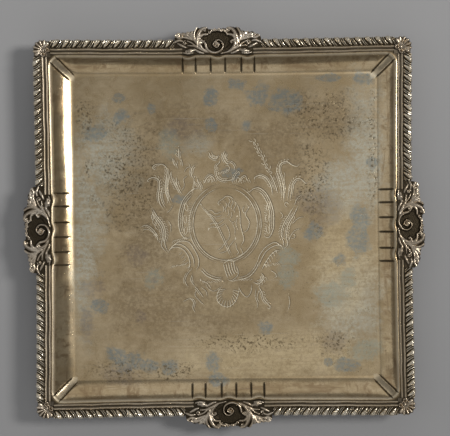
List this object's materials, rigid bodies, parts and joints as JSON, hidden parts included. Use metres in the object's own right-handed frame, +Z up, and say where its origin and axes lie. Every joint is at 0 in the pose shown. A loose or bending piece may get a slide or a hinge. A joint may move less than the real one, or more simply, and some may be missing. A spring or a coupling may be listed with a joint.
{
  "type": "footed square salver",
  "caption": "Square dished silver salver on cast feet, with a gadrooned and reeded border, shell corners and a scrollwork cartouche at the middle of each side.",
  "frame": {"origin": "on the table under the centre of the plate, level with the soles of the four feet", "axes": "+Z up; +Y towards the back side and +X towards the right side, with the engraving upright seen from the front, which is -Y"},
  "size_m": [0.316, 0.316, 0.0316],
  "materials": {
    "sheet_silver": "old sterling silver sheet, softly polished, with warm tarnish and fine scratches",
    "cast_silver": "cast and chased sterling silver, bright on the high points and dark in the recesses",
    "drawn_silver": "drawn sterling silver wire, softly polished, dark in the channel"
  },
  "bodies": {
    "root": {"cartouche_back": "cast_silver", "cartouche_front": "cast_silver", "cartouche_left": "cast_silver", "cartouche_right": "cast_silver", "corner_shell_back_left": "cast_silver", "corner_shell_back_right": "cast_silver", "corner_shell_front_left": "cast_silver", "corner_shell_front_right": "cast_silver", "foot_back_left": "cast_silver", "foot_back_right": "cast_silver", "foot_front_left": "cast_silver", "foot_front_right": "cast_silver", "gadroons_back_anticlockwise": "cast_silver", "gadroons_back_clockwise": "cast_silver", "gadroons_front_anticlockwise": "cast_silver", "gadroons_front_clockwise": "cast_silver", "gadroons_left_anticlockwise": "cast_silver", "gadroons_left_clockwise": "cast_silver", "gadroons_right_anticlockwise": "cast_silver", "gadroons_right_clockwise": "cast_silver", "reeded_wire_back_anticlockwise": "drawn_silver", "reeded_wire_back_clockwise": "drawn_silver", "reeded_wire_front_anticlockwise": "drawn_silver", "reeded_wire_front_clockwise": "drawn_silver", "reeded_wire_left_anticlockwise": "drawn_silver", "reeded_wire_left_clockwise": "drawn_silver", "reeded_wire_right_anticlockwise": "drawn_silver", "reeded_wire_right_clockwise": "drawn_silver", "salver_plate": "sheet_silver"}
  },
  "joints": []
}
